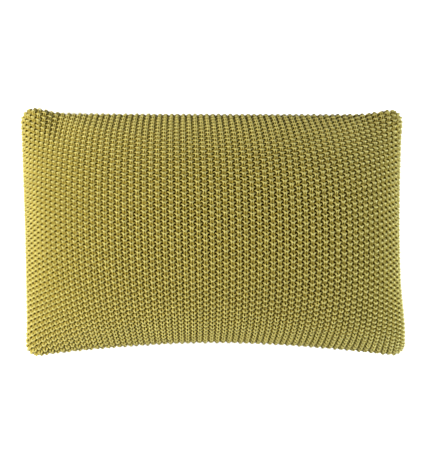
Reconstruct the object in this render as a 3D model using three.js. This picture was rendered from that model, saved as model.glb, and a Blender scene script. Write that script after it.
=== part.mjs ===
// Oblong knitted scatter cushion, lying on its back and filled to a full crown.
// Millimetres, +X along the long side, +Y up the cover, +Z out of the front face.
// The origin is under the middle of the cushion, on the surface that it lies on.
import * as THREE from 'three';
import { mergeVertices } from 'three/addons/utils/BufferGeometryUtils.js';

// Corners of the seam line, as they would be before rounding, from the middle of the cover.
const CORNERS = {
  topLeft: { x: -287, y: 185 },
  topRight: { x: 284, y: 183 },
  bottomLeft: { x: -277, y: -186 },
  bottomRight: { x: 287, y: -186 },
};
const CORNER_RADIUS = 16;

// How far the filling draws each side in at its middle. A larger squareness keeps the
// curve flat along the side and turns it close to the corners.
const SIDES = {
  top: { drawnIn: 7, squareness: 6 },
  bottom: { drawnIn: 22, squareness: 1.8 },
  left: { drawnIn: 3, squareness: 2 },
  right: { drawnIn: 7, squareness: 2 },
};

// The filled section: seam height above the surface, and the rise of each face from it.
const SEAM_HEIGHT = 60;
const EAR_DROOP = 8;
const SEAM_THICKNESS = 8;
const FRONT_RISE = 80;
const BACK_RISE = 72;
const FULLNESS = { along: 3, across: 2, power: 0.46 };

// The back face is pressed flat where the cushion lies, with a soft turn round the patch.
const CONTACT_TURN = 7;

// Soft hollows in the front face beside the two upper ears.
const HOLLOWS = [
  { x: -236, y: 168, depth: 9, radius: 17 },
  { x: 236, y: 166, depth: 4, radius: 26 },
];

const COLUMNS = 50;
const ROWS = 34;
const EDGE_CROWDING = 0.55;

const COVER = { color: '#b3a34b', roughness: 0.95, metalness: 0 };

const HALF_LENGTH = (CORNERS.topRight.x - CORNERS.topLeft.x) / 2;
const HALF_HEIGHT = (CORNERS.topLeft.y - CORNERS.bottomLeft.y) / 2;

const mix = (from, to, share) => from + (to - from) * share;

// Crowds the grid lines towards the seam, where the faces turn fastest.
function crowd(t) {
  return mix(t, Math.sin((t * Math.PI) / 2), EDGE_CROWDING);
}

// Distance into the corner zone, from 0 at its start to 1 at the side.
function cornerShare(t, halfSize) {
  return Math.max(0, 1 - ((1 - Math.abs(t)) * halfSize) / CORNER_RADIUS);
}

// Maps the square -1..1 onto one with round corners.
function roundCorners(a, b) {
  const p = cornerShare(a, HALF_LENGTH);
  const q = cornerShare(b, HALF_HEIGHT);
  const pullX = ((p - p * Math.sqrt(1 - (q * q) / 2)) * CORNER_RADIUS) / HALF_LENGTH;
  const pullY = ((q - q * Math.sqrt(1 - (p * p) / 2)) * CORNER_RADIUS) / HALF_HEIGHT;
  return [a - Math.sign(a) * pullX, b - Math.sign(b) * pullY];
}

// Amount by which a side is drawn in at the share t, -1..1, along it.
function drawn(side, t) {
  return side.drawnIn * (1 - Math.abs(t) ** side.squareness);
}

// A point of the flat cover, -1..1 each way, in the plane of the seam.
function inSeamPlane(a, b) {
  const [s, t] = roundCorners(a, b);
  const { topLeft, topRight, bottomLeft, bottomRight } = CORNERS;
  const along = (s + 1) / 2;
  const up = (t + 1) / 2;
  const left = mix(bottomLeft.x, topLeft.x, up) + drawn(SIDES.left, t);
  const right = mix(bottomRight.x, topRight.x, up) - drawn(SIDES.right, t);
  const bottom = mix(bottomLeft.y, bottomRight.y, along) + drawn(SIDES.bottom, s);
  const top = mix(topLeft.y, topRight.y, along) - drawn(SIDES.top, s);
  return [mix(left, right, along), mix(bottom, top, up)];
}

// Share of the full rise: 0 on the seam and 1 in the middle.
function fullness(a, b) {
  const along = 1 - Math.abs(a) ** FULLNESS.along;
  const across = 1 - Math.abs(b) ** FULLNESS.across;
  return Math.max(0, along * across) ** FULLNESS.power;
}

function seamHeight(a, b) {
  return SEAM_HEIGHT - EAR_DROOP * (a * b) ** 4;
}

function hollowDepth(x, y) {
  return HOLLOWS.reduce((sum, hollow) => {
    const reach = Math.hypot(x - hollow.x, y - hollow.y) / hollow.radius;
    return sum + hollow.depth * Math.exp(-reach * reach);
  }, 0);
}

// Presses a height flat at the surface, easing in over the contact turn.
function pressFlat(height) {
  if (height <= -CONTACT_TURN) return 0;
  if (height >= CONTACT_TURN) return height;
  return (height + CONTACT_TURN) ** 2 / (4 * CONTACT_TURN);
}

function frontHeight(a, b, x, y) {
  const rise = fullness(a, b);
  const hollow = hollowDepth(x, y) * Math.min(1, 2 * rise);
  return seamHeight(a, b) + SEAM_THICKNESS / 2 + FRONT_RISE * rise - hollow;
}

function backHeight(a, b) {
  return pressFlat(seamHeight(a, b) - SEAM_THICKNESS / 2 - BACK_RISE * fullness(a, b));
}

// Moulds a gridded box into the filled cushion: its two large faces become the front
// and the back of the cover, and its narrow sides become the seam.
function cushionGeometry() {
  const geometry = new THREE.BoxGeometry(2, 2, 2, COLUMNS, ROWS, 1);
  const points = geometry.attributes.position;
  for (let i = 0; i < points.count; i += 1) {
    const a = crowd(points.getX(i));
    const b = crowd(points.getY(i));
    const [x, y] = inSeamPlane(a, b);
    const z = points.getZ(i) > 0 ? frontHeight(a, b, x, y) : backHeight(a, b);
    points.setXYZ(i, x, y, z);
  }
  geometry.deleteAttribute('normal');
  geometry.deleteAttribute('uv');
  const merged = mergeVertices(geometry);
  merged.computeBoundingBox();
  const middle = merged.boundingBox.getCenter(new THREE.Vector3());
  merged.translate(-middle.x, -middle.y, 0);
  merged.computeVertexNormals();
  return merged;
}

const cushion = new THREE.Mesh(cushionGeometry(), new THREE.MeshStandardMaterial(COVER));
cushion.name = 'cushion';

const part = new THREE.Group();
part.add(cushion);

export default part;
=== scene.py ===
"""A filled scatter cushion in a chunky moss-stitch knit cover, lying on its back."""
import math

import bmesh
import bpy
import numpy as np
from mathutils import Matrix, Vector


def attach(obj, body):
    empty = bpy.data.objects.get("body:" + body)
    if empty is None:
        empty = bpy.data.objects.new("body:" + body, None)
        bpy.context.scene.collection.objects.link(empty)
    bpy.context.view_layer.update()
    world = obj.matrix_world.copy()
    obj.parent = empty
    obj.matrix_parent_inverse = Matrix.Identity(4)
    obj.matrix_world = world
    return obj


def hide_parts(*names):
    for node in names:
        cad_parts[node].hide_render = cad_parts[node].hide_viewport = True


MM = 0.001

# The cushion's seam line and filled section, in millimetres from the middle of the cover.
# They are the solid's own, but for a rounder corner and deeper hollows beside the ears.
CORNERS = {
    "top_left": (-287, 185),
    "top_right": (284, 183),
    "bottom_left": (-277, -186),
    "bottom_right": (287, -186),
}
CORNER_RADIUS = 20
HALF_LENGTH = (CORNERS["top_right"][0] - CORNERS["top_left"][0]) / 2
HALF_HEIGHT = (CORNERS["top_left"][1] - CORNERS["bottom_left"][1]) / 2
SIDES = {
    "top": {"drawn_in": 7, "squareness": 6},
    "bottom": {"drawn_in": 22, "squareness": 1.8},
    "left": {"drawn_in": 3, "squareness": 2},
    "right": {"drawn_in": 7, "squareness": 2},
}
SEAM_HEIGHT = 60
EAR_DROOP = 8
SEAM_THICKNESS = 8
RISE = {"front": 80, "back": 72}
FULLNESS = {"along": 3, "across": 2, "power": 0.46}
CONTACT_TURN = 7
HOLLOWS = [
    {"x": -230, "y": 168, "depth": 16, "radius": 22},
    {"x": 236, "y": 166, "depth": 6, "radius": 26},
]

# Corners that the filling pushes out beyond the plain outline, and up, and by how much.
EARS = [
    {"x": -263, "y": 180, "out_x": -1.0, "out_y": 5.0, "up": 6, "radius": 22},
    {"x": 266, "y": 178, "out_x": 1.5, "out_y": 4.0, "up": 3, "radius": 24},
    {"x": 282, "y": -140, "out_x": 3.0, "out_y": 0.0, "up": 0, "radius": 42},
    {"x": -272, "y": -172, "out_x": -2.0, "out_y": -2.0, "up": 0, "radius": 24},
]

# The two knitted panels. Wales run up the cover and courses across it. The outermost ones
# turn over the edge to the seam, which is drawn in to a shallow groove.
PLAIN_WALES = 63
EDGE_WALES = 3
PLAIN_COURSES = 94
EDGE_COURSES = 3
WALES = PLAIN_WALES + 2 * EDGE_WALES
COURSES = PLAIN_COURSES + 2 * EDGE_COURSES
PANEL_WALES = PLAIN_WALES + 2
PANEL_COURSES = PLAIN_COURSES + 2
SEAM_GROOVE = 3.0
WELD_DISTANCE = 0.02

# The cover is laid slack on its filling, which then presses it out again by up to as much.
# The slack fades out over the stitches nearest the seam, which holds the cover.
SLACK = 2.0
SLACK_FADE = 12
FILLING_PRESSURE = 4
SETTLING_FRAMES = 20
CLOTH = {"quality": 3, "mass": 0.3, "bending_stiffness": 0.5, "shrink_min": -0.02}
STRETCH_STIFFNESS = 15
SHEAR_STIFFNESS = 5

# How the filling stretches the knit: wider stitches on the crown, a sag at the two ends,
# and a slight lean of the wales.
STRETCH = {
    "wider": 0.15,
    "wider_power": 3.5,
    "taller": 0.32,
    "taller_right": 0.10,
    "sag": 0.06,
    "sag_power": 3,
    "skew": 0.05,
    "lean": -0.025,
}

# The yarn and its loops. A loop's half is given from the side of its wale to the middle:
# the share of half a wale, the courses that it reaches down, and its lift in yarn radii.
YARN_RADIUS = 1.15
YARN_SIDES = 5
COVER_DEPTH = {"front": 3.5, "back": 2.8}
RIM_DEPTH = {"ends": 0.3, "bottom": 0.3, "top": 3.0}
GROUND_DEPTH = 3.7
WALE = 9.4
COURSE = 4.5
KNIT_LOOP = [
    {"side": 1.00, "reach": -0.80, "lift": -1.5},
    {"side": 0.84, "reach": -0.85, "lift": -2.2},
    {"side": 0.60, "reach": -0.62, "lift": -2.1},
    {"side": 0.43, "reach": -0.28, "lift": -1.8},
    {"side": 0.38, "reach": 0.15, "lift": -1.3},
    {"side": 0.39, "reach": 0.50, "lift": 0.4},
    {"side": 0.29, "reach": 0.78, "lift": 1.9},
    {"side": 0.00, "reach": 0.90, "lift": 2.4},
]
PURL_LOOP = [
    {"side": 1.00, "reach": -0.80, "lift": -1.5},
    {"side": 0.86, "reach": -0.78, "lift": -0.3},
    {"side": 0.60, "reach": -0.55, "lift": 0.8},
    {"side": 0.36, "reach": -0.22, "lift": 1.1},
    {"side": 0.30, "reach": 0.15, "lift": 0.2},
    {"side": 0.33, "reach": 0.50, "lift": -1.5},
    {"side": 0.24, "reach": 0.90, "lift": -2.1},
    {"side": 0.00, "reach": 1.00, "lift": -2.2},
]
STEPS = {
    "front": {"knit": 9, "purl": 8},
    "back": {"knit": 5, "purl": 5},
}
PIECES = {"front": 4, "back": 2}
STRIPS = 3
# Painted shade and highlight: the yarn's darker colour where it lies deepest and faces in, its paler colour
# on the crowns, and the range of lift and facing between them.
YARN_PAINTED_SHADE = "#a68d00"
YARN_PAINTED_HIGHLIGHT = "#cabf68"
DEEPEST, HIGHEST = -2.0, 2.8
# Painted shade: the back of the knit gets a darker colour than its yarn, so the gaps between the stitches
# read as shadow.
INNER_FACE_PAINTED_SHADE = "#4a3a08"
PLIES = 3
PLY_STEP = 4.0
UNEVEN = {"side": 0.03, "reach": 0.05, "lift": 0.10}
YARN_END_LIFT = -2
CHART_MARGIN = 0.03
SEED = 11

# The photograph's view, straight down on the cushion: the frame's width at the height of
# the seam, the camera's height above it, and where it aims from the middle of the cover.
PHOTO_WIDTH = 429
PHOTO_HEIGHT = 475
FRAME_WIDTH = 643.5
CAMERA_ABOVE_SEAM = 2500
AIM = (3.0, -8.25)
SENSOR = 36

# The studio, in metres: each soft light's place, its two widths, its power and its colour,
# and how bright the paper and the room are to the camera and to the cushion.
PLAIN_WHITE = "#ffffff"
COOL_WHITE = "#e6f0ff"
LIGHTS = {
    "key": {"place": (-1.1, 0.1, 1.1), "size": (0.25, 0.5), "power": 29, "tint": PLAIN_WHITE},
    "low_left": {"place": (-1.0, -0.9, 0.6), "size": (0.3, 0.3), "power": 6, "tint": PLAIN_WHITE},
    "side": {"place": (1.3, -0.1, 0.4), "size": (0.5, 0.8), "power": 24, "tint": COOL_WHITE},
}
LIT_POINT = (0, 0, 0.1)
FLOOR_WIDTH = 8
PAPER = "#f4f4f4"
PAPER_GLOW = {"cushion": 0.1, "camera": 0.85}
ROOM_GLOW = {"cushion": 0.03, "camera": 1}


def mix(start, end, share):
    return start + (end - start) * share


def corner_share(t, half_size):
    """Distance into the corner zone, from 0 at its start to 1 at the side."""
    return np.maximum(0, 1 - (1 - np.abs(t)) * half_size / CORNER_RADIUS)


def round_corners(a, b):
    """Maps the square -1..1 onto one with round corners."""
    p = corner_share(a, HALF_LENGTH)
    q = corner_share(b, HALF_HEIGHT)
    pull_x = (p - p * np.sqrt(1 - q * q / 2)) * CORNER_RADIUS / HALF_LENGTH
    pull_y = (q - q * np.sqrt(1 - p * p / 2)) * CORNER_RADIUS / HALF_HEIGHT
    return a - np.sign(a) * pull_x, b - np.sign(b) * pull_y


def drawn_in(name, t):
    """Amount by which a side is drawn in at the share t, -1..1, along it."""
    side = SIDES[name]
    return side["drawn_in"] * (1 - np.abs(t) ** side["squareness"])


def in_seam_plane(a, b):
    """A point of the flat cover, -1..1 each way, in the plane of the seam."""
    s, t = round_corners(a, b)
    along = (s + 1) / 2
    up = (t + 1) / 2
    left = mix(CORNERS["bottom_left"][0], CORNERS["top_left"][0], up)
    right = mix(CORNERS["bottom_right"][0], CORNERS["top_right"][0], up)
    bottom = mix(CORNERS["bottom_left"][1], CORNERS["bottom_right"][1], along)
    top = mix(CORNERS["top_left"][1], CORNERS["top_right"][1], along)
    x = mix(left + drawn_in("left", t), right - drawn_in("right", t), along)
    y = mix(bottom + drawn_in("bottom", s), top - drawn_in("top", s), up)
    return x, y


def cover_middle():
    """Middle of the seam line's box, which the part's origin lies under."""
    t = np.linspace(-1, 1, 401)
    ends = np.ones_like(t)
    a = np.concatenate([t, t, ends, -ends])
    b = np.concatenate([ends, -ends, t, t])
    x, y = in_seam_plane(a, b)
    return (x.min() + x.max()) / 2, (y.min() + y.max()) / 2


MIDDLE = cover_middle()


def fullness(a, b):
    """Share of the full rise: 0 on the seam and 1 in the middle."""
    along = 1 - np.abs(a) ** FULLNESS["along"]
    across = 1 - np.abs(b) ** FULLNESS["across"]
    return np.maximum(0, along * across) ** FULLNESS["power"]


def hollow_depth(x, y):
    depth = np.zeros_like(x)
    for hollow in HOLLOWS:
        reach = np.hypot(x - hollow["x"], y - hollow["y"]) / hollow["radius"]
        depth += hollow["depth"] * np.exp(-(reach**2))
    return depth


def ear_reach(x, y):
    """How far the stuffed corners push out beyond the plain outline, and up."""
    move_x, move_y, move_up = np.zeros_like(x), np.zeros_like(x), np.zeros_like(x)
    for ear in EARS:
        near = np.exp(-(((x - ear["x"]) ** 2 + (y - ear["y"]) ** 2) / ear["radius"] ** 2))
        move_x += ear["out_x"] * near
        move_y += ear["out_y"] * near
        move_up += ear["up"] * near
    return move_x, move_y, move_up


def press_flat(height):
    """Presses a height flat at the surface, easing in over the contact turn."""
    eased = (height + CONTACT_TURN) ** 2 / (4 * CONTACT_TURN)
    pressed = np.where(height >= CONTACT_TURN, height, eased)
    return np.where(height <= -CONTACT_TURN, 0, pressed)


def stretched(al, be):
    """Where the filling takes a point of the even knit, both as -1..1 each way."""
    k = STRETCH
    wider = k["wider"] * (1 - be**2) * (1 - np.abs(al) ** k["wider_power"])
    a = al * (1 + wider) + k["lean"] * be**2 * (1 - al**2)
    taller = k["taller"] * (1 - np.abs(al) ** 3) + k["taller_right"] * al
    sag = k["sag"] * np.abs(al) ** k["sag_power"] + k["skew"] * al
    b = be * (1 + taller * (1 - be**2)) - sag * (1 - be**2)
    return a, b


def cover_point(side, al, be, wall):
    """A point of the yarn's middle layer. wall is 0 on the seam and 1 from the rim inwards."""
    depth = COVER_DEPTH[side]
    a, b = stretched(al, be)
    x, y = in_seam_plane(a, b)
    rise = fullness(a, b)
    seam = SEAM_HEIGHT - EAR_DROOP * (a * b) ** 4
    above = wall * SEAM_THICKNESS / 2 + RISE[side] * rise
    if side == "front":
        height = seam + above - hollow_depth(x, y) * np.minimum(1, 2 * rise)
        full = SEAM_THICKNESS / 2 + RISE[side]
    else:
        height = press_flat(seam - above)
        full = SEAM_HEIGHT
    height = seam + (height - seam) * (1 - depth / full)
    groove = SEAM_GROOVE * (1 - wall) ** 2
    rim_y = mix(RIM_DEPTH["bottom"], RIM_DEPTH["top"], (b + 1) / 2)
    move_x, move_y, move_up = ear_reach(x, y)
    if side == "front":
        height += move_up * wall
    x = x * (1 - (RIM_DEPTH["ends"] + groove) / HALF_LENGTH) + move_x - MIDDLE[0]
    y = y * (1 - (rim_y + groove) / HALF_HEIGHT) + move_y - MIDDLE[1]
    return np.stack([x, y, height], -1) * MM


def edge_walk(count, plain_share):
    """Samples from the seam over the wall and a first plain stitch: cover share and wall."""
    travel = np.linspace(0, 2, 2 * count + 1)
    wall = np.minimum(1, travel)
    share = 1 - np.maximum(0, travel - 1) * plain_share
    return share, wall


def evenly(lines, shares):
    """Points at these shares of the length of each line; lines is lines x samples x 3."""
    steps = np.linalg.norm(np.diff(lines, axis=1), axis=2)
    walked = np.concatenate([np.zeros((len(lines), 1)), np.cumsum(steps, 1)], 1)
    out = np.empty((len(lines), len(shares), 3))
    for i, line in enumerate(lines):
        at = walked[i] / walked[i, -1]
        for axis in range(3):
            out[i, :, axis] = np.interp(shares, at, line[:, axis])
    return out


def panel_grid(side, per_wale, per_course):
    """The panel's points, columns x rows x 3, from the left seam and from the top one."""
    samples = 24
    edge_al, edge_wall = edge_walk(samples, 2 / PANEL_WALES)
    plain_al = np.linspace(-1, 1, PANEL_WALES * per_wale + 1)[per_wale:-per_wale]
    edge_be, edge_row_wall = edge_walk(samples, 2 / PANEL_COURSES)
    plain_be = np.linspace(1, -1, PANEL_COURSES * per_course + 1)[per_course:-per_course]
    al = np.concatenate([-edge_al[:-1], plain_al, edge_al[-2::-1]])
    be = np.concatenate([edge_be[:-1], plain_be, -edge_be[-2::-1]])
    column_wall = np.concatenate([edge_wall[:-1], np.ones(len(plain_al)), edge_wall[-2::-1]])
    row_wall = np.concatenate([edge_row_wall[:-1], np.ones(len(plain_be)), edge_row_wall[-2::-1]])
    wall = column_wall[:, None] * row_wall[None, :]
    grid = cover_point(side, *np.meshgrid(al, be, indexing="ij"), wall)

    def respaced(lines, edge_count, per_stitch):
        shares = np.linspace(0, 1, edge_count * per_stitch + 1)
        near = evenly(lines[:, : 2 * samples + 1], shares)
        far = evenly(lines[:, -2 * samples - 1 :], shares)
        inner = lines[:, 2 * samples + 1 : -2 * samples - 1]
        return np.concatenate([near, inner, far], 1)

    grid = respaced(grid.transpose(1, 0, 2), EDGE_WALES, per_wale).transpose(1, 0, 2)
    return respaced(grid, EDGE_COURSES, per_course)


def chart_place(side, column, row):
    """A place on the knitting chart, in wales and courses, as a UV point."""
    start = 0.0 if side == "front" else 0.5
    return start + column / WALES / 2, 1 - row / COURSES


def knit_surface(per_wale, per_course):
    """The closed surface in the middle of the knit, with the chart of both panels as its UV map."""
    points, faces, charts = [], [], []
    columns = WALES * per_wale + 1
    rows = COURSES * per_course + 1
    wales_in, courses_in = np.arange(columns) / per_wale, np.arange(rows) / per_course
    column, row = np.meshgrid(wales_in, courses_in, indexing="ij")
    from_seam = np.minimum.reduce([column, WALES - column, row, COURSES - row]).ravel()
    i, j = np.meshgrid(np.arange(columns - 1), np.arange(rows - 1), indexing="ij")
    corner_steps = {"front": [(0, 1), (1, 1), (1, 0), (0, 0)], "back": [(0, 0), (1, 0), (1, 1), (0, 1)]}
    for side, steps in corner_steps.items():
        start = len(points) * columns * rows
        points.append(panel_grid(side, per_wale, per_course).reshape(-1, 3))
        faces.append(np.stack([start + (i + u) * rows + j + v for u, v in steps], -1).reshape(-1, 4))
        places = [chart_place(side, (i + u) / per_wale, (j + v) / per_course) for u, v in steps]
        charts.append(np.stack([np.stack(place, -1) for place in places], 2).reshape(-1, 2))
    mesh = bpy.data.meshes.new("knit_surface")
    mesh.from_pydata(np.concatenate(points).tolist(), [], np.concatenate(faces).tolist())
    chart = mesh.uv_layers.new(name="chart")
    chart.data.foreach_set("uv", np.concatenate(charts).astype(np.float32).ravel())
    stitches = mesh.attributes.new("from_seam", "FLOAT", "POINT")
    stitches.data.foreach_set("value", np.tile(from_seam, 2).astype(np.float32))
    weld(mesh)
    return linked("knit_surface", mesh)


def weld(mesh):
    """Joins the two panels' rims along the seam."""
    work = bmesh.new()
    work.from_mesh(mesh)
    bmesh.ops.remove_doubles(work, verts=work.verts, dist=WELD_DISTANCE * MM)
    work.to_mesh(mesh)
    work.free()
    mesh.shade_smooth()


def linked(name, data):
    piece = bpy.data.objects.new(name, data)
    bpy.context.scene.collection.objects.link(piece)
    return piece


def positions(mesh):
    flat = np.empty(len(mesh.vertices) * 3, np.float32)
    mesh.vertices.foreach_get("co", flat)
    return flat.reshape(-1, 3).astype(float)


def set_positions(mesh, points):
    mesh.vertices.foreach_set("co", points.astype(np.float32).ravel())
    mesh.update()


def normals(mesh):
    flat = np.empty(len(mesh.vertices) * 3, np.float32)
    mesh.vertex_normals.foreach_get("vector", flat)
    return flat.reshape(-1, 3).astype(float)


def press_out(surface):
    """Lays the cover slack and lets the filling press it out, held along the seam."""
    mesh = surface.data
    from_seam = np.empty(len(mesh.vertices), np.float32)
    mesh.attributes["from_seam"].data.foreach_get("value", from_seam)
    share = np.minimum(1, from_seam / SLACK_FADE)
    slack = SLACK * MM * share**2 * (3 - 2 * share)
    outwards = normals(mesh)
    start = positions(mesh) - outwards * slack[:, None]
    set_positions(mesh, start)
    seam = surface.vertex_groups.new(name="seam")
    seam.add(np.flatnonzero(from_seam == 0).tolist(), 1, "REPLACE")

    cloth = surface.modifiers.new("cover", "CLOTH")
    cloth.collision_settings.use_collision = False
    settings = cloth.settings
    settings.vertex_group_mass = seam.name
    settings.use_pressure = True
    settings.uniform_pressure_force = FILLING_PRESSURE
    settings.effector_weights.gravity = 0
    settings.tension_stiffness = settings.compression_stiffness = STRETCH_STIFFNESS
    settings.shear_stiffness = SHEAR_STIFFNESS
    for name, value in CLOTH.items():
        setattr(settings, name, value)
    for frame_number in range(1, SETTLING_FRAMES + 1):
        bpy.context.scene.frame_set(frame_number)
    graph = bpy.context.evaluated_depsgraph_get()
    moved = positions(surface.evaluated_get(graph).data) - start
    surface.modifiers.remove(cloth)
    bpy.context.scene.frame_set(1)

    pushed = np.clip((moved * outwards).sum(1), 0, slack)
    set_positions(mesh, start + outwards * pushed[:, None])


def smooth_line(points, steps):
    """A smooth curve through the points."""
    ends = [2 * points[0] - points[1]], [2 * points[-1] - points[-2]]
    padded = np.concatenate([ends[0], points, ends[1]])
    t = np.linspace(0, 1, steps + 1)[:-1, None]
    out = []
    for p0, p1, p2, p3 in zip(padded, padded[1:], padded[2:], padded[3:]):
        bend = (2 * p0 - 5 * p1 + 4 * p2 - p3) * t**2 + (3 * (p1 - p2) + p3 - p0) * t**3
        out.append((2 * p1 + (p2 - p0) * t + bend) / 2)
    return np.concatenate([*out, points[-1:]])


def loop_points(table):
    half = np.array([[row["side"], row["reach"], row["lift"]] for row in table])
    return np.concatenate([half * [-1, 1, 1], half[-2::-1]])


def stitch_paths(side):
    """The knit and the purl loop as evenly spaced points, without their last point."""
    scale = np.array([WALE / 2, COURSE, YARN_RADIUS])
    loops = {"knit": loop_points(KNIT_LOOP), "purl": loop_points(PURL_LOOP)}
    paths = {}
    fine = 8
    for kind, other in (("knit", "purl"), ("purl", "knit")):
        before = loops[other] - [2, 0, 0]
        after = loops[other] + [2, 0, 0]
        line = smooth_line(np.concatenate([before[:-1], loops[kind], after[1:]]) * scale, fine)
        start = (len(before) - 1) * fine
        own = line[start : start + (len(loops[kind]) - 1) * fine + 1]
        shares = np.linspace(0, 1, STEPS[side][kind] + 1)
        paths[kind] = evenly(own[None], shares)[0][:-1] / scale
    return paths


def course_line(paths, course, rng):
    """One course of the panel: wale, course and lift in yarn radii of each point."""
    kinds = ["knit" if (wale + course) % 2 == 0 else "purl" for wale in range(WALES)]
    line = []
    for wale, kind in enumerate(kinds):
        path = paths[kind].copy()
        free = 1 - path[:, 0] ** 2
        path[:, 0] = wale + 0.5 + (path[:, 0] + rng.normal(0, UNEVEN["side"]) * free) / 2
        path[:, 1] = course + 0.5 + path[:, 1] + rng.normal(0, UNEVEN["reach"]) * free
        path[:, 2] += rng.normal(0, UNEVEN["lift"]) * free
        line.append(path)
    line = np.concatenate(line)
    line[0, 2] = line[-1, 2] = YARN_END_LIFT
    line[:, 0] = np.clip(line[:, 0], CHART_MARGIN, WALES - CHART_MARGIN)
    line[:, 1] = np.clip(line[:, 1], CHART_MARGIN, COURSES - CHART_MARGIN)
    return line


def chart_of_courses(side, first, last):
    """An object whose edges are the courses on the knitting chart."""
    rng = np.random.default_rng(SEED + first)
    paths = stitch_paths(side)
    points, edges = [], []
    count = 0
    for course in range(first, last):
        line = course_line(paths, course, rng)
        u, v = chart_place(side, line[:, 0], line[:, 1])
        points.append(np.stack([u, v, line[:, 2]], 1))
        order = np.arange(count, count + len(line))
        edges.append(np.stack([order[:-1], order[1:]], 1))
        count += len(line)
    mesh = bpy.data.meshes.new("courses")
    mesh.from_pydata(np.concatenate(points).tolist(), np.concatenate(edges).tolist(), [])
    return linked("courses", mesh), [len(edge) + 1 for edge in edges]


def add_node(tree, kind, links=None, **settings):
    """Adds a node: settings that are sockets are set on them, and links join them."""
    node = tree.nodes.new(kind)
    for name, value in settings.items():
        if hasattr(node, name):
            setattr(node, name, value)
        else:
            node.inputs[name.replace("_", " ")].default_value = value
    for name, source in (links or {}).items():
        tree.links.new(source, node.inputs[name])
    return node


def attribute(tree, name, kind):
    node = add_node(tree, "GeometryNodeInputNamedAttribute", data_type=kind, Name=name)
    return node.outputs["Attribute"]


def stored(tree, geometry, name, kind, value):
    """Stores a value on the geometry's points under this name."""
    node = add_node(
        tree,
        "GeometryNodeStoreNamedAttribute",
        {"Geometry": geometry, "Value": value},
        data_type=kind,
        domain="POINT",
        Name=name,
    )
    return node.outputs["Geometry"]


def yarn_tree():
    """Lays the charted courses on the knit surface and gives them the yarn's thickness."""
    tree = bpy.data.node_groups.new("Lay yarn on knit surface", "GeometryNodeTree")
    face = tree.interface
    face.new_socket("Geometry", in_out="OUTPUT", socket_type="NodeSocketGeometry")
    face.new_socket("Geometry", in_out="INPUT", socket_type="NodeSocketGeometry")
    face.new_socket("Knit surface", in_out="INPUT", socket_type="NodeSocketObject")
    face.new_socket("Yarn radius", in_out="INPUT", socket_type="NodeSocketFloat")
    face.new_socket("Yarn sides", in_out="INPUT", socket_type="NodeSocketInt")
    face.new_socket("Yarn material", in_out="INPUT", socket_type="NodeSocketMaterial")
    given = add_node(tree, "NodeGroupInput").outputs
    surface = add_node(tree, "GeometryNodeObjectInfo", {"Object": given["Knit surface"]})
    place = add_node(tree, "GeometryNodeInputPosition").outputs[0]
    chart = attribute(tree, "chart", "FLOAT_VECTOR")
    samples = []
    for kind in ("GeometryNodeInputPosition", "GeometryNodeInputNormal"):
        value = add_node(tree, kind).outputs[0]
        sample = add_node(
            tree,
            "GeometryNodeSampleUVSurface",
            {
                "Mesh": surface.outputs["Geometry"],
                "Value": value,
                "Source UV Map": chart,
                "Sample UV": place,
            },
            data_type="FLOAT_VECTOR",
        )
        samples.append(sample.outputs["Value"])
    parts = add_node(tree, "ShaderNodeSeparateXYZ", {"Vector": place})
    lift = add_node(
        tree, "ShaderNodeMath", {0: parts.outputs["Z"], 1: given["Yarn radius"]}, operation="MULTIPLY"
    )
    raised = add_node(
        tree, "ShaderNodeVectorMath", {0: samples[1], "Scale": lift.outputs[0]}, operation="SCALE"
    )
    laid = add_node(
        tree, "ShaderNodeVectorMath", {0: samples[0], 1: raised.outputs[0]}, operation="ADD"
    )
    kept = stored(tree, given["Geometry"], "outwards", "FLOAT_VECTOR", samples[1])
    kept = stored(tree, kept, "lift", "FLOAT", parts.outputs["Z"])
    moved = add_node(tree, "GeometryNodeSetPosition", {"Geometry": kept, "Position": laid.outputs[0]})
    strands = add_node(tree, "GeometryNodeMeshToCurve", {"Mesh": moved.outputs[0]})
    ring = add_node(
        tree,
        "GeometryNodeCurvePrimitiveCircle",
        {"Resolution": given["Yarn sides"], "Radius": given["Yarn radius"]},
    )
    yarn = add_node(
        tree,
        "GeometryNodeCurveToMesh",
        {"Curve": strands.outputs[0], "Profile Curve": ring.outputs[0]},
        Fill_Caps=True,
    )
    # Painted shade and highlight: each side of the yarn keeps how far it faces out and how high it lies,
    # which the yarn's material turns into darker deep parts and paler crowns.
    round_face = add_node(tree, "GeometryNodeInputNormal").outputs[0]
    outwards = attribute(tree, "outwards", "FLOAT_VECTOR")
    facing = add_node(
        tree, "ShaderNodeVectorMath", {0: round_face, 1: outwards}, operation="DOT_PRODUCT"
    )
    exposure = add_node(
        tree,
        "ShaderNodeMath",
        {0: facing.outputs["Value"], 1: attribute(tree, "lift", "FLOAT")},
        operation="ADD",
    )
    painted_light_marked = stored(tree, yarn.outputs[0], "exposure", "FLOAT", exposure.outputs[0])
    smooth = add_node(tree, "GeometryNodeSetShadeSmooth", {"Geometry": painted_light_marked})
    real = add_node(tree, "GeometryNodeRealizeInstances", {"Geometry": smooth.outputs[0]})
    done = add_node(
        tree,
        "GeometryNodeSetMaterial",
        {"Geometry": real.outputs[0], "Material": given["Yarn material"]},
    )
    add_node(tree, "NodeGroupOutput", {0: done.outputs[0]})
    return tree


def applied(source, name, tree, values):
    """Runs the tree on the source and returns its result as a plain mesh object."""
    modifier = source.modifiers.new("nodes", "NODES")
    modifier.node_group = tree
    for item in tree.interface.items_tree:
        if item.in_out == "INPUT" and item.name in values:
            modifier[item.identifier] = values[item.name]
    graph = bpy.context.evaluated_depsgraph_get()
    mesh = bpy.data.meshes.new_from_object(source.evaluated_get(graph), depsgraph=graph)
    mesh.name = name
    bpy.data.objects.remove(source)
    return linked(name, mesh)


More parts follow.
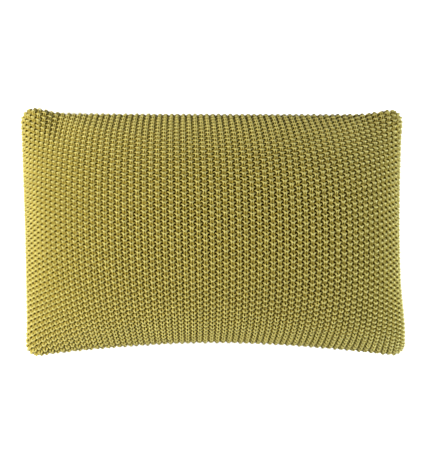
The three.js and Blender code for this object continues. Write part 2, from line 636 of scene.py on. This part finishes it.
def unwrap_yarn(mesh, counts):
    """Writes where each corner of the yarn lies along its strand in metres and round it, and
    an unwrapped chart of strips. counts holds the number of rings in each strand."""
    corners = np.empty(len(mesh.loops), np.int32)
    mesh.loops.foreach_get("vertex_index", corners)
    starts = np.empty(len(mesh.polygons), np.int32)
    mesh.polygons.foreach_get("loop_start", starts)
    sizes = np.diff(np.append(starts, len(corners)))
    ring, turn = np.divmod(corners, YARN_SIDES)
    low = np.repeat(np.minimum.reduceat(ring, starts), sizes)
    spread = np.maximum.reduceat(turn, starts) - np.minimum.reduceat(turn, starts)
    closing = np.repeat((spread == YARN_SIDES - 1) & (sizes == 4), sizes)
    turn = np.where(closing & (turn == 0), YARN_SIDES, turn) / YARN_SIDES

    centres = positions(mesh).reshape(-1, YARN_SIDES, 3).mean(1)
    first = np.concatenate([[0], np.cumsum(counts)])
    strand = np.searchsorted(first, low, side="right") - 1
    walked = np.append(0, np.cumsum(np.linalg.norm(np.diff(centres, axis=0), axis=1)))
    write_uv(mesh, "strand", walked[ring] - walked[first[strand]], turn)

    count = np.asarray(counts)[strand]
    part = (low - first[strand]) * STRIPS // count
    start = first[strand] + -(-part * count // STRIPS)
    end = np.minimum(first[strand] + -(-(part + 1) * count // STRIPS), first[strand] + count - 1)
    along = (walked[ring] - walked[start]) / (walked[end] - walked[start])
    across = (strand * STRIPS + part + 0.1 + 0.8 * turn) / (len(counts) * STRIPS)
    cap = np.repeat(sizes != 4, sizes)
    along = along + np.where(cap, 0.001 * np.cos(turn * 2 * np.pi), 0)
    write_uv(mesh, "OFBake", 0.002 + 0.996 * along, across)


def write_uv(mesh, name, u, v):
    layer = mesh.uv_layers.new(name=name)
    layer.data.foreach_set("uv", np.stack([u, v], 1).astype(np.float32).ravel())


def linear(code):
    """An sRGB hex colour as linear RGBA."""
    channels = [int(code[i : i + 2], 16) / 255 for i in (1, 3, 5)]
    curve = [c / 12.92 if c <= 0.04045 else ((c + 0.055) / 1.055) ** 2.4 for c in channels]
    return (*curve, 1)


def new_material(name, roughness):
    material = bpy.data.materials.new(name)
    material.use_nodes = True
    tree = material.node_tree
    shader = tree.nodes["Principled BSDF"]
    shader.inputs["Roughness"].default_value = roughness
    return material, tree, shader


def cotton_yarn():
    """Three-ply combed cotton, matt with a slight fibre sheen, a warm olive yellow with painted shade where
    it lies deep and a painted highlight on its crowns.
    """
    material, tree, shader = new_material("combed_cotton_yarn", 0.6)
    shader.inputs["Sheen Weight"].default_value = 0.08
    shader.inputs["Sheen Roughness"].default_value = 0.5

    # Painted shade and highlight: the yarn is coloured darker where it lies deep or faces inwards, and
    # paler where it lies on a crown and faces out.
    exposure = add_node(tree, "ShaderNodeAttribute", attribute_name="exposure")
    share = add_node(
        tree,
        "ShaderNodeMapRange",
        {"Value": exposure.outputs["Fac"]},
        From_Min=DEEPEST,
        From_Max=HIGHEST,
    )
    painted_shade_and_highlight = add_node(
        tree,
        "ShaderNodeMixRGB",
        {"Fac": share.outputs["Result"]},
        Color1=linear(YARN_PAINTED_SHADE),
        Color2=linear(YARN_PAINTED_HIGHLIGHT),
    )
    place = add_node(tree, "ShaderNodeTexCoord").outputs["Object"]
    patches = add_node(tree, "ShaderNodeTexNoise", {"Vector": place}, Scale=70, Detail=3)
    tone = add_node(
        tree, "ShaderNodeMapRange", {"Value": patches.outputs["Fac"]}, To_Min=0.9, To_Max=1.1
    )
    uneven = add_node(tree, "ShaderNodeHueSaturation", {"Color": painted_shade_and_highlight.outputs[0], "Value": tone.outputs[0]})
    tree.links.new(uneven.outputs[0], shader.inputs["Base Color"])

    # The plies wind round the strand, and single fibres run along them.
    strand = add_node(tree, "ShaderNodeUVMap", uv_map="strand").outputs[0]
    parts = add_node(tree, "ShaderNodeSeparateXYZ", {"Vector": strand})
    wound = add_node(tree, "ShaderNodeMath", {0: parts.outputs["Y"]}, operation="MULTIPLY")
    wound.inputs[1].default_value = PLIES * math.pi
    travelled = add_node(
        tree, "ShaderNodeMath", {0: parts.outputs["X"], 2: wound.outputs[0]}, operation="MULTIPLY_ADD"
    )
    travelled.inputs[1].default_value = math.pi / (PLY_STEP * MM)
    wave = add_node(tree, "ShaderNodeMath", {0: travelled.outputs[0]}, operation="SINE")
    plies = add_node(tree, "ShaderNodeMath", {0: wave.outputs[0]}, operation="ABSOLUTE")
    fibres = add_node(tree, "ShaderNodeTexNoise", {"Vector": place}, Scale=2500, Detail=2)
    height = add_node(
        tree, "ShaderNodeMath", {0: fibres.outputs["Fac"], 2: plies.outputs[0]}, operation="MULTIPLY_ADD"
    )
    height.inputs[1].default_value = 0.25
    bump = add_node(tree, "ShaderNodeBump", {"Height": height.outputs[0]}, Strength=0.6, Distance=0.35 * MM)
    tree.links.new(bump.outputs[0], shader.inputs["Normal"])
    return material


def inner_face():
    """The back of the knit, seen only between the stitches, given a darker colour than its yarn as painted
    shade.
    """
    material, tree, shader = new_material("cover_inner_face_painted_shade", 0.95)
    shader.inputs["Base Color"].default_value = linear(INNER_FACE_PAINTED_SHADE)
    shader.inputs["Specular IOR Level"].default_value = 0.1
    place = add_node(tree, "ShaderNodeTexCoord").outputs["Object"]
    rows = add_node(
        tree, "ShaderNodeTexWave", {"Vector": place}, bands_direction="Y", Scale=70, Distortion=4
    )
    bump = add_node(tree, "ShaderNodeBump", {"Height": rows.outputs["Fac"]}, Strength=0.5, Distance=MM)
    tree.links.new(bump.outputs[0], shader.inputs["Normal"])
    return material


def paper_floor():
    """Bright white paper that shows no shade and throws little light back on the cushion."""
    material, tree, shader = new_material("white_paper", 0.9)
    shader.inputs["Base Color"].default_value = linear(PAPER)
    shader.inputs["Emission Color"].default_value = linear(PLAIN_WHITE)
    tree.links.new(glow_for_camera(tree, PAPER_GLOW), shader.inputs["Emission Strength"])
    return material


def glow_for_camera(tree, glow):
    """A strength that is one thing to the camera and another to what it lights."""
    seen = add_node(tree, "ShaderNodeLightPath").outputs["Is Camera Ray"]
    strength = add_node(
        tree, "ShaderNodeMapRange", {"Value": seen}, To_Min=glow["cushion"], To_Max=glow["camera"]
    )
    return strength.outputs[0]


def add_floor():
    bpy.ops.mesh.primitive_plane_add(size=FLOOR_WIDTH)
    floor = bpy.context.object
    floor.name = "floor"
    floor.data.materials.append(paper_floor())


def add_camera():
    data = bpy.data.cameras.new("camera")
    frame_height = FRAME_WIDTH * PHOTO_HEIGHT / PHOTO_WIDTH
    data.sensor_width = SENSOR
    data.lens = SENSOR * CAMERA_ABOVE_SEAM / frame_height
    camera = linked("camera", data)
    camera.location = (
        (AIM[0] - MIDDLE[0]) * MM,
        (AIM[1] - MIDDLE[1]) * MM,
        (SEAM_HEIGHT + CAMERA_ABOVE_SEAM) * MM,
    )
    bpy.context.scene.camera = camera


def add_light(name, place, size, power, tint):
    data = bpy.data.lights.new(name, "AREA")
    data.shape = "RECTANGLE"
    data.size, data.size_y = size
    data.energy = power
    data.color = linear(tint)[:3]
    light = linked(name, data)
    light.location = place
    aim = Vector(LIT_POINT) - light.location
    light.rotation_euler = aim.to_track_quat("-Z", "Y").to_euler()


def add_lights():
    for name, light in LIGHTS.items():
        add_light(name, **light)
    world = bpy.data.worlds.new("studio")
    world.use_nodes = True
    background = world.node_tree.nodes["Background"]
    background.inputs["Color"].default_value = linear(PLAIN_WHITE)
    world.node_tree.links.new(
        glow_for_camera(world.node_tree, ROOM_GLOW), background.inputs["Strength"]
    )
    bpy.context.scene.world = world
    bpy.context.scene.view_settings.view_transform = "Standard"


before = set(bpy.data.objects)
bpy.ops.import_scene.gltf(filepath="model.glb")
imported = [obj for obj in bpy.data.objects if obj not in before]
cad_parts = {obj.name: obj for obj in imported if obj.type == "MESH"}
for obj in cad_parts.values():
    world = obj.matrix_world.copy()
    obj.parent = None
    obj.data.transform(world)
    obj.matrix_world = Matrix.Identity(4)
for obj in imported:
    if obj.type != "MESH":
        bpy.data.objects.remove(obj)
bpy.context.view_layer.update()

add_camera()
surface = knit_surface(2, 1)
press_out(surface)
yarn = cotton_yarn()
tree = yarn_tree()
for side, pieces in PIECES.items():
    stops = np.linspace(0, COURSES, pieces + 1).astype(int)
    for number, (first, last) in enumerate(zip(stops, stops[1:]), 1):
        values = {
            "Knit surface": surface,
            "Yarn radius": YARN_RADIUS * MM,
            "Yarn sides": YARN_SIDES,
            "Yarn material": yarn,
        }
        courses, counts = chart_of_courses(side, first, last)
        piece = applied(courses, f"{side}_knit_{number}", tree, values)
        unwrap_yarn(piece.data, counts)
        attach(piece, "root")

body = surface
body.name = "filled_body"
set_positions(body.data, positions(body.data) - normals(body.data) * GROUND_DEPTH * MM)
body.data.materials.append(inner_face())
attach(body, "root")
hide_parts("cushion")

add_floor()
add_lights()
